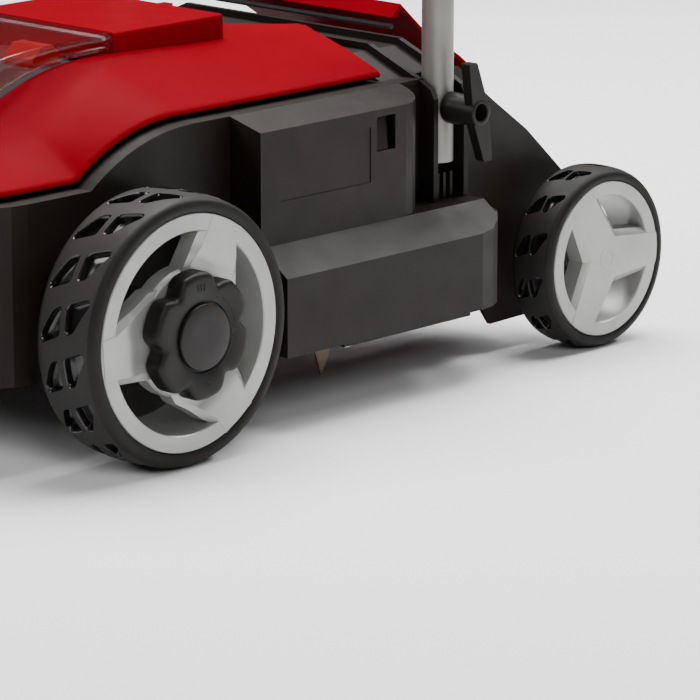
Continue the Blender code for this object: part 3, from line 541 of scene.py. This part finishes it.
def make_knob(tag, side, hub):
    """The six-lobed depth knob, its cap and its raised dial marks."""
    count = 180
    bm = bmesh.new()
    previous = None
    for x, shrink in ((KNOB_BACK_X, 0.0012), (KNOB_BACK_X + 0.0012, 0.0), (0.2572, 0.0), (0.2588, 0.0003),
                      (0.2600, 0.0011), (0.2608, 0.0024), (KNOB_FACE_X, 0.0040), (KNOB_FACE_X, 0.0058)):
        ring = []
        for k in range(count):
            a = 2 * pi * k / count
            dip = ((1 - cos(6 * (a - radians(KNOB_LOBE_ANGLE)))) / 2) ** 4.0
            radius = KNOB_R - KNOB_SCALLOP * dip - shrink
            ring.append(bm.verts.new(polar(hub, side * x, radius, a)))
        if previous:
            bridge(bm, previous, ring)
        else:
            fill(bm, ring)
        previous = ring
    for x, radius in ((KNOB_FACE_X, 0.0268), (0.2608, 0.0261), (0.2596, 0.0258), (0.2596, 0.0240)):
        ring = [bm.verts.new(polar(hub, side * x, radius, 2 * pi * k / count)) for k in range(count)]
        bridge(bm, previous, ring)
        previous = ring
    fill(bm, previous)
    for middle_angle in (88, 93, 98):
        arc_strip(bm, hub, side, KNOB_FACE_X, (middle_angle - 1.1, middle_angle + 1.1), (0.0338, 0.0388))
    arc_strip(bm, hub, side, KNOB_FACE_X, (12, 52), (0.0318, 0.0327))
    arc_strip(bm, hub, side, KNOB_FACE_X, (-62, -10), (0.0282, 0.0291))
    arc_strip(bm, hub, side, KNOB_FACE_X, (-4.5, 4.5), (0.0275, 0.0300))
    arc_strip(bm, hub, side, KNOB_FACE_X, (-2.0, 2.0), (0.0300, 0.0345))
    low = polar(hub, 0.0, 0.0355, radians(-84))
    arc_strip(bm, Vector((0.0, low.y, low.z)), side, KNOB_FACE_X, (0, 360), (0.0014, 0.0021))
    piece(f"{tag}_lobed_knob", bm, "knob", f"{tag}_depth_knob", f"{tag}_depth_knob", smooth=36)

    bm = bmesh.new()
    profile = [(0.2598, 0.0245), (0.2622, 0.0245), (0.2629, 0.0240),
               (KNOB_CAP_X, 0.0230), (KNOB_CAP_X, 0.0120)]
    rows = revolve(bm, hub, sided(side, profile), 120)
    fill(bm, rows[0])
    fill(bm, rows[-1])
    piece(f"{tag}_round_cap", bm, "cap", f"{tag}_depth_knob", f"{tag}_knob_cap", smooth=36)


# ---- hood ----------------------------------------------------------------------------------
HOOD_X, LOW_EDGE_Z, HOOD_REAR_Y = 0.158, 0.197, 0.293
HOOD_INNER_X = 0.079             # where the hood's slope meets its middle
ARCH_Y, ARCH_Z, ARCH_R = 0.077, 0.064, 0.168
HOOD_STATIONS = (
    # y from the front axle, half width, crease x, crease z, inner z, crease rounding
    (-0.1474, 0.100, 0.080, 0.1995, 0.2015, 0.012),
    (-0.142, 0.122, 0.088, 0.2020, 0.2050, 0.016),
    (-0.125, 0.143, 0.098, 0.2068, 0.2105, 0.020),
    (-0.105, 0.154, 0.104, 0.2125, 0.2170, 0.020),
    (-0.080, HOOD_X, 0.106, 0.2195, 0.2270, 0.018),
    (-0.050, HOOD_X, 0.106, 0.2285, 0.2400, 0.014),
    (-0.020, HOOD_X, 0.104, 0.2380, 0.2530, 0.010),
    (0.005, HOOD_X, 0.099, 0.2470, 0.2620, 0.007),
    (0.035, HOOD_X, 0.093, 0.2580, 0.2685, 0.005),
    (0.065, HOOD_X, 0.089, 0.2640, 0.2705, 0.004),
    (0.100, HOOD_X, 0.087, 0.2655, 0.2705, 0.004),
    (0.180, HOOD_X, 0.087, 0.2650, 0.2675, 0.004),
    (HOOD_REAR_Y, HOOD_X, 0.086, 0.2640, 0.2665, 0.004),
)


def smooth_at(table, at):
    """Every column of a table at a station, as a smooth curve through its rows."""
    last = len(table) - 1
    k = 0
    while k < last - 1 and at > table[k + 1][0]:
        k += 1
    start, end = table[k], table[k + 1]
    before, after = table[max(k - 1, 0)], table[min(k + 2, last)]
    span = end[0] - start[0]
    t = min(max((at - start[0]) / span, 0.0), 1.0)
    values = []
    for c in range(1, len(start)):
        rise_a = (end[c] - before[c]) / (end[0] - before[0]) * span
        rise_b = (after[c] - start[c]) / (after[0] - start[0]) * span
        values.append((2 * t**3 - 3 * t**2 + 1) * start[c] + (t**3 - 2 * t**2 + t) * rise_a
                      + (3 * t**2 - 2 * t**3) * end[c] + (t**3 - t**2) * rise_b)
    return values


def arch_z(y):
    """Height of the deck's upper edge, which the hood sits on."""
    foot = ARCH_Y - sqrt(ARCH_R**2 - (LOW_EDGE_Z - ARCH_Z) ** 2)
    if y <= foot:
        return LOW_EDGE_Z
    return ARCH_Z + sqrt(ARCH_R**2 - (min(y, ARCH_Y) - ARCH_Y) ** 2)


def hood_section(y):
    """Points across the hood's left half at one station, from the low edge to the middle."""
    half, crease_x, crease_z, inner_z, turn = smooth_at(HOOD_STATIONS, y)
    half = min(half, HOOD_X)
    low = arch_z(y) + 0.0034
    points = [(half - 0.0010, low), (half, low + 0.0010), (half - 0.0002, low + 0.0026),
              (half - 0.0016, low + 0.0044), (half - 0.0036, low + 0.0056)]
    foot = Vector(points[-1])
    crease, top = Vector((crease_x, crease_z)), Vector((HOOD_INNER_X, inner_z))
    down, up = (foot - crease).normalized(), (top - crease).normalized()
    reach = min(turn, (top - crease).length * 0.8, (foot - crease).length * 0.4)
    start, end = crease + down * reach, crease + up * reach
    bulge = Vector((-down.y, down.x)) * 0.0012
    if bulge.x < 0:
        bulge = -bulge
    for s in range(1, 9):
        t = s / 9
        points.append(foot * (1 - t) + start * t + bulge * 4 * t * (1 - t))
    for s in range(7):
        t = s / 6
        points.append(start * (1 - t) ** 2 + crease * 2 * t * (1 - t) + end * t ** 2)
    points.append(top)
    points.append(Vector((0.040, inner_z + 0.0008)))
    return [tuple(p) for p in points] + [(0.0, inner_z + 0.001)]


def hollow(target, name, bm):
    """Cuts a shape out of a piece or of a CAD node, by a modifier."""
    bmesh.ops.recalc_face_normals(bm, faces=bm.faces)
    mesh = bpy.data.meshes.new(name)
    bm.to_mesh(mesh)
    bm.free()
    cutter = bpy.data.objects.new(name, mesh)
    bpy.context.collection.objects.link(cutter)
    cutter.hide_render = True
    cutter.display_type = "WIRE"
    edit = target.modifiers.new(name, "BOOLEAN")
    edit.object = cutter
    edit.operation = "DIFFERENCE"
    edit.solver = "EXACT"


def extruded(outline, way, start, end, bm=None):
    """A prism: way is X, Y or Z, and the outline is in the other two axes, in order."""
    bm = bm or bmesh.new()
    rows = []
    for at in (start, end):
        row = []
        for u, v in outline:
            place = {"X": (at, AXLE_Y + u, v), "Y": (u, AXLE_Y + at, v), "Z": (u, AXLE_Y + v, at)}[way]
            row.append(bm.verts.new(place))
        rows.append(row)
    bridge(bm, rows[0], rows[1])
    fill(bm, rows[0])
    fill(bm, rows[1])
    return bm


def box(x0, x1, y0, y1, z0, z1):
    """A box between two corners, y from the front axle."""
    return extruded([(x0, z0), (x1, z0), (x1, z1), (x0, z1)], "Y", y0, y1)


def make_hood():
    """The hood's smooth skin, its raised middle and its rear notch."""
    bm = bmesh.new()
    previous = None
    count = 110
    for k in range(count + 1):
        y = HOOD_STATIONS[0][0] + (HOOD_REAR_Y - HOOD_STATIONS[0][0]) * k / count
        left = hood_section(y)
        across = left + [(-x, z) for x, z in reversed(left[:-1])]
        row = [bm.verts.new((x, AXLE_Y + y, z)) for x, z in across]
        if previous:
            bridge(bm, previous, row, closed=False)
        previous = row
    skin = piece("hood_skin", bm, "red", "chassis", "hood", smooth=50)
    if sum(p.normal.z * p.area for p in skin.data.polygons) < 0:
        skin.data.flip_normals()
    wall = skin.modifiers.new("wall", "SOLIDIFY")
    wall.thickness = 0.003
    wall.offset = -1
    hollow(skin, "bay_mouth", box(-0.0745, 0.0745, -0.060, 0.087, 0.17, 0.30))
    notch = [(0.0775, 0.31), (0.0775, 0.3045), (0.038, 0.2505),
             (-0.038, 0.2505), (-0.0775, 0.3045), (-0.0775, 0.31)]
    hollow(skin, "grip_notch", extruded(notch, "Z", 0.22, 0.30))
    soften(skin, 0.0007)

    outline = rounded([(0.0775, 0.262), (0.0775, 0.2865), (-0.0775, 0.2865), (-0.0775, 0.262)], 0.0034, 6)
    block = extruded([tuple(p) for p in outline], "Y", 0.0880, 0.2040)
    raised = piece("hood_raised_middle", block, "red", "chassis")
    soften(raised, 0.0012, 3)


# ---- deck details --------------------------------------------------------------------------
def dress_deck(tag, side):
    """The sunk label panel and the finger pocket in the belt box's wall."""
    deck = nodes["deck"]

    def sunk(name, x0, x1, *box_yz):
        hollow(deck, f"{name}_{tag}", box(*sorted((side * x0, side * x1)), *box_yz))

    sunk("label_panel", 0.2044, 0.2100, 0.1350, 0.2330, 0.1690, 0.2112)
    sunk("finger_pocket", 0.1965, 0.2100, 0.2395, 0.2600, 0.1915, 0.2180)
    plate = [(0.1968, 0.1918), (0.2040, 0.1918), (0.1990, 0.2176), (0.1968, 0.2176)]
    bm = bmesh.new()
    rows = []
    for y in (0.2398, 0.2530):
        rows.append([bm.verts.new((side * x, AXLE_Y + y + (z - 0.1918) * 0.12, z)) for x, z in plate])
    bridge(bm, rows[0], rows[1])
    fill(bm, rows[0])
    fill(bm, rows[1])
    soften(piece(f"{tag}_pocket_plate", bm, "deck", "chassis"), 0.0005)


# ---- handle --------------------------------------------------------------------------------
TUBE_X, TUBE_Y, TUBE_R = 0.1747, 0.340, 0.0125
TUBE_FOOT_Z, BEND_Z, LEAN = 0.166, 0.330, radians(38)
FOLD_Z, GRIP_Z, CORNER = 0.640, 1.020, 0.045
GRIP_BORE_R, BAIL_R = 0.0127, 0.0045
NUT_LENGTH, FOOT_NUT_LEAN, FOLD_NUT_LEAN = 0.033, 97, 120
WING_NEAR, WING_FAR = 0.0237, 0.0323    # a wing's two faces, from the nut's inner end


def lean_point(x, z):
    """A point on the handle's straight leaning part, y from the front axle."""
    return Vector((x, TUBE_Y + (z - BEND_Z - 0.035) * tan(LEAN), z))


def sweep(bm, path, radius, count=40):
    """A round bar along a path of points, closed at both ends."""
    path = [Vector((p.x, AXLE_Y + p.y, p.z)) for p in path]
    previous, normal = None, Vector((1, 0, 0))
    for k, here in enumerate(path):
        run = (path[min(k + 1, len(path) - 1)] - path[max(k - 1, 0)]).normalized()
        normal = (normal - run * normal.dot(run)).normalized()
        cross = run.cross(normal)
        ring = []
        for c in range(count):
            a = 2 * pi * c / count
            ring.append(bm.verts.new(here + (normal * cos(a) + cross * sin(a)) * radius))
        if previous:
            bridge(bm, previous, ring)
        else:
            fill(bm, ring)
        previous = ring
    fill(bm, previous)


def make_lower_tube(tag, side):
    """A lower tube: upright in its clamp, then bent backwards and straight to the fold."""
    x = side * TUBE_X
    foot, bend = Vector((x, TUBE_Y, TUBE_FOOT_Z)), Vector((x, TUBE_Y, BEND_Z))
    control, end = Vector((x, TUBE_Y, BEND_Z + 0.035)), lean_point(x, BEND_Z + 0.085)
    path = [foot, foot.lerp(bend, 0.5), foot.lerp(bend, 0.95)]
    for k in range(17):
        t = k / 16
        path.append(bend * (1 - t) ** 2 + control * 2 * t * (1 - t) + end * t * t)
    path += [lean_point(x, 0.45), lean_point(x, 0.55), lean_point(x, FOLD_Z + 0.022)]
    bm = bmesh.new()
    sweep(bm, path, TUBE_R - 0.00004)
    tube = piece(f"{tag}_drawn_tube", bm, "tube", "chassis", f"{tag}_lower_tube", smooth=50)
    bore = bmesh.new()
    inside = [path[0] - Vector((0, 0, 0.01)), foot.lerp(bend, 0.4)]
    sweep(bore, inside, TUBE_R - 0.0018)
    hollow(tube, f"{tag}_tube_bore", bore)
    soften(tube, 0.0004)


def make_upper_handle():
    """The folding part of the handle: two legs and a cross bar bent from one tube."""
    leg = TUBE_X - 2 * TUBE_R - 0.0010
    half = [lean_point(leg, FOLD_Z - 0.022), lean_point(leg, 0.70), lean_point(leg, 0.85)]
    for k in range(13):
        a = pi / 2 * k / 12
        half.append(lean_point(leg - CORNER * (1 - cos(a)), GRIP_Z - CORNER * cos(LEAN) * (1 - sin(a))))
    centre = Vector((0.0, half[-1].y, half[-1].z))
    path = half + [centre] + [Vector((-p.x, p.y, p.z)) for p in reversed(half)]
    bm = bmesh.new()
    sweep(bm, path, TUBE_R - 0.00055)
    soften(piece("bent_handle", bm, "tube", "upper_handle", "upper_handle", smooth=50), 0.0006)


def make_grip(tag):
    """A foam sleeve with pressed rings near both ends."""
    low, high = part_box(f"{tag}_grip")
    hub = middle(f"{tag}_grip")
    outer = (high[2] - low[2]) / 2
    groove = outer - 0.0007
    bm = bmesh.new()
    profile = [(low[0], GRIP_BORE_R), (low[0], outer - 0.0016), (low[0] + 0.0016, outer)]
    length = high[0] - low[0]
    for share in (0.10, 0.17, 0.24, 0.76, 0.83, 0.90):
        at = low[0] + length * share
        profile += [(at - 0.0012, outer), (at - 0.0007, groove), (at + 0.0007, groove), (at + 0.0012, outer)]
    profile += [(high[0] - 0.0016, outer), (high[0], outer - 0.0016), (high[0], GRIP_BORE_R)]
    rows = revolve(bm, hub, profile, 64)
    bridge(bm, rows[-1], rows[0])
    piece(f"{tag}_foam_sleeve", bm, "foam", "upper_handle", f"{tag}_grip", smooth=40)


def make_bail():
    """The squeeze bar below the grips, rounded where it bends."""
    low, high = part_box("bail_lever")
    y_back, y_front = high[1] - AXLE_Y - BAIL_R, low[1] - AXLE_Y + BAIL_R
    z_high, z_low = high[2] - BAIL_R, low[2] + BAIL_R
    corner = Vector((0.046, y_back, z_high))
    bent = Vector((0.070, y_back + (y_front - y_back) * 0.66, z_high + (z_low - z_high) * 0.62))
    end = Vector((high[0] - 0.001, y_front + 0.0006, z_low + 0.0006))
    half = [Vector((0.0, y_back, z_high)), Vector((0.034, y_back, z_high))]
    for k in range(1, 8):
        t = k / 8
        half.append(half[1] * (1 - t) ** 2 + corner * 2 * t * (1 - t) + bent * t * t)
    half += [bent, end]
    bm = bmesh.new()
    path = [Vector((-p.x, p.y, p.z)) for p in reversed(half[1:])] + half
    sweep(bm, path, BAIL_R * 0.99, 24)
    soften(piece("bail_bar", bm, "knob", "bail_lever", "bail_lever", smooth=50), 0.0012)


def make_wing_nut(tag, place, side, lean):
    """A tapered boss with an open end and two leaning wings."""
    node = f"{tag}_{place}_wing_nut"
    low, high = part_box(node)
    hub = middle(node)
    start = min(abs(low[0]), abs(high[0]))
    end = start + NUT_LENGTH
    bm = bmesh.new()
    profile = [(start, 0.0066), (start, 0.0112), (start + 0.0006, 0.0120), (start + 0.0018, 0.0124),
               (start + 0.0100, 0.0122), (start + 0.0112, 0.0117), (end - 0.0012, 0.0106),
               (end - 0.0003, 0.0103), (end, 0.0097), (end, 0.0074), (end - 0.0006, 0.0069),
               (end - 0.0120, 0.0066)]
    rows = revolve(bm, hub, sided(side, profile), 48)
    fill(bm, rows[-1])
    for half in (0, 180):
        a = radians(lean + half)
        out, across = Vector((cos(a), sin(a))), Vector((-sin(a), cos(a)))
        corners = [out * 0.0072 - across * 0.0085, out * 0.0395 - across * 0.0008,
                   out * 0.0406 + across * 0.0088, out * 0.0072 + across * 0.0085]
        outline = [(hub.y - AXLE_Y + c.x, hub.z + c.y) for c in rounded(corners, 0.0016, 4)]
        extruded(outline, "X", side * (start + WING_NEAR), side * (start + WING_FAR), bm)
    soften(piece(f"{tag}_{place}_nut_body", bm, "knob", node, node, smooth=34), 0.0008)


# ---- lid -----------------------------------------------------------------------------------
LID_X, LID_SKIN = 0.078, 0.0025
LID_END_Y, LID_END_Z, LID_END_R = 0.0815, 0.2820, 0.006     # the rounded rear end
LID_LOW_Z = 0.2735               # the lower edge at that end
LID_TOP_LINE = (
    # y from the front axle, height
    (-0.0680, 0.2395), (-0.0666, 0.2580), (-0.0640, 0.2655), (-0.0560, 0.2715), (-0.0450, 0.2758),
    (-0.0120, 0.2826), (0.0300, 0.2858), (0.0600, 0.2870), (LID_END_Y, 0.2874),
)
LID_LOW_LINE = (
    (-0.0680, 0.2395), (-0.040, 0.2515), (-0.012, 0.2628), (0.020, 0.2705), (0.050, 0.2730),
    (LID_END_Y, LID_LOW_Z),
)


def make_lid():
    """The clear battery lid, a thin curved shell open underneath."""
    bm = bmesh.new()
    count = 48
    rows = []
    for k in range(count + 1):
        y = LID_TOP_LINE[0][0] + (LID_TOP_LINE[-1][0] - LID_TOP_LINE[0][0]) * (k / count) ** 1.5
        top = smooth_at(LID_TOP_LINE, y)[0]
        low = min(smooth_at(LID_LOW_LINE, y)[0], top - 0.0004)
        r = min(0.0022, (top - low) * 0.45)
        rows.append((y, low, top, r))
    for k in range(1, 7):
        a = radians(90 - 90 * k / 6)
        y = LID_END_Y + LID_END_R * cos(a)
        low = LID_LOW_Z + 0.0020 * (1 - sin(a)) + 0.0055 * (1 - sin(a)) ** 2
        rows.append((y, low, LID_END_Z + (LID_END_R - 0.0006) * sin(a), 0.0004))
    previous = None
    for y, low, top, r in rows:
        low = min(low, top - r - 0.0001)
        left = [(LID_X, low), (LID_X, top - r), (LID_X - r * 0.3, top - r * 0.3), (LID_X - r, top),
                (0.0, top)]
        across = left + [(-x, z) for x, z in reversed(left[:-1])]
        row = [bm.verts.new((x, AXLE_Y + y, z)) for x, z in across]
        if previous:
            bridge(bm, previous, row, closed=False)
        previous = row
    lid = piece("clear_lid", bm, "lid", "battery_lid", "battery_lid", smooth=40)
    if sum(p.normal.z * p.area for p in lid.data.polygons) < 0:
        lid.data.flip_normals()
    wall = lid.modifiers.new("wall", "SOLIDIFY")
    wall.thickness = LID_SKIN
    wall.offset = -1


# ---- camera and light ----------------------------------------------------------------------
def make_camera():
    """A long lens at the photographed three-quarter view."""
    lens = bpy.data.cameras.new("camera")
    lens.lens, lens.sensor_width = 231.43, 36.0
    lens.clip_end = 50.0
    camera = bpy.data.objects.new("camera", lens)
    bpy.context.collection.objects.link(camera)
    azimuth, tilt = radians(43.55), radians(13.96)
    camera.location = (2.4835, AXLE_Y - 2.1868, 0.8650)
    camera.rotation_euler = (pi / 2 - tilt, 0.0, azimuth)
    bpy.context.scene.camera = camera


def area_light(name, place, aim, size, power):
    """A rectangular lamp of a width and height in metres, turned to a point."""
    lamp = bpy.data.lights.new(name, "AREA")
    lamp.shape, lamp.size, lamp.size_y = "RECTANGLE", *size
    lamp.energy = power
    made = bpy.data.objects.new(name, lamp)
    bpy.context.collection.objects.link(made)
    made.location = place
    made.rotation_euler = (Vector(aim) - Vector(place)).to_track_quat("-Z", "Y").to_euler()


def make_studio():
    """A dim white room, a white floor, and lamps above, behind, at the nose and at the left."""
    world = bpy.data.worlds.new("studio")
    world.use_nodes = True
    world.node_tree.nodes["Background"].inputs["Color"].default_value = (1, 1, 1, 1)
    world.node_tree.nodes["Background"].inputs["Strength"].default_value = 0.06
    bpy.context.scene.world = world
    area_light("overhead", (-0.4, 0.5, 2.5), (-0.2, 0.2, 0.0), (2.4, 2.2), 190)
    area_light("rear_strip", (0.8, 2.2, 2.1), (0, 0, 0.2), (1.6, 0.5), 52)
    area_light("nose_card", (-1.2, -2.4, 1.6), (0, -0.4, 0.2), (1.2, 1.0), 36)
    area_light("side_card", (1.9, -1.3, 1.3), (0.2, -0.1, 0.1), (0.9, 0.9), 18)
    floor = bpy.data.meshes.new("floor")
    reach = 6.0
    floor.from_pydata([(-reach, -reach, 0), (reach, -reach, 0), (reach, reach, 0), (-reach, reach, 0)], [],
                      [(0, 1, 2, 3)])
    ground = bpy.data.objects.new("floor", floor)
    bpy.context.collection.objects.link(ground)
    ground.location.z = -0.0006
    paint = Look("floor_paint", (0.95, 0.95, 0.95, 1), 0.8)
    floor.materials.append(paint.material)


make_camera()
make_studio()
dress_nodes()
for tag, side in SIDES:
    front, rear = middle(f"{tag}_front_rim"), middle(f"{tag}_rear_rim")
    front_wheel, rear_wheel = f"{tag}_front_wheel", f"{tag}_rear_wheel"
    make_tyre(f"{tag}_front_tread", side, front, FRONT_TYRE, front_wheel, f"{tag}_front_tyre")
    make_tyre(f"{tag}_rear_tread", side, rear, REAR_TYRE, rear_wheel, f"{tag}_rear_tyre")
    make_rim(f"{tag}_front_spokes", side, front, FRONT_RIM, front_wheel, f"{tag}_front_rim")
    make_rim(f"{tag}_rear_spokes", side, rear, REAR_RIM, rear_wheel, f"{tag}_rear_rim")
    make_knob(tag, side, front)
    dress_deck(tag, side)
    make_lower_tube(tag, side)
    make_grip(tag)
    make_wing_nut(tag, "foot", side, FOOT_NUT_LEAN)
    make_wing_nut(tag, "fold", side, FOLD_NUT_LEAN)
make_hood()
make_lid()
make_upper_handle()
make_bail()
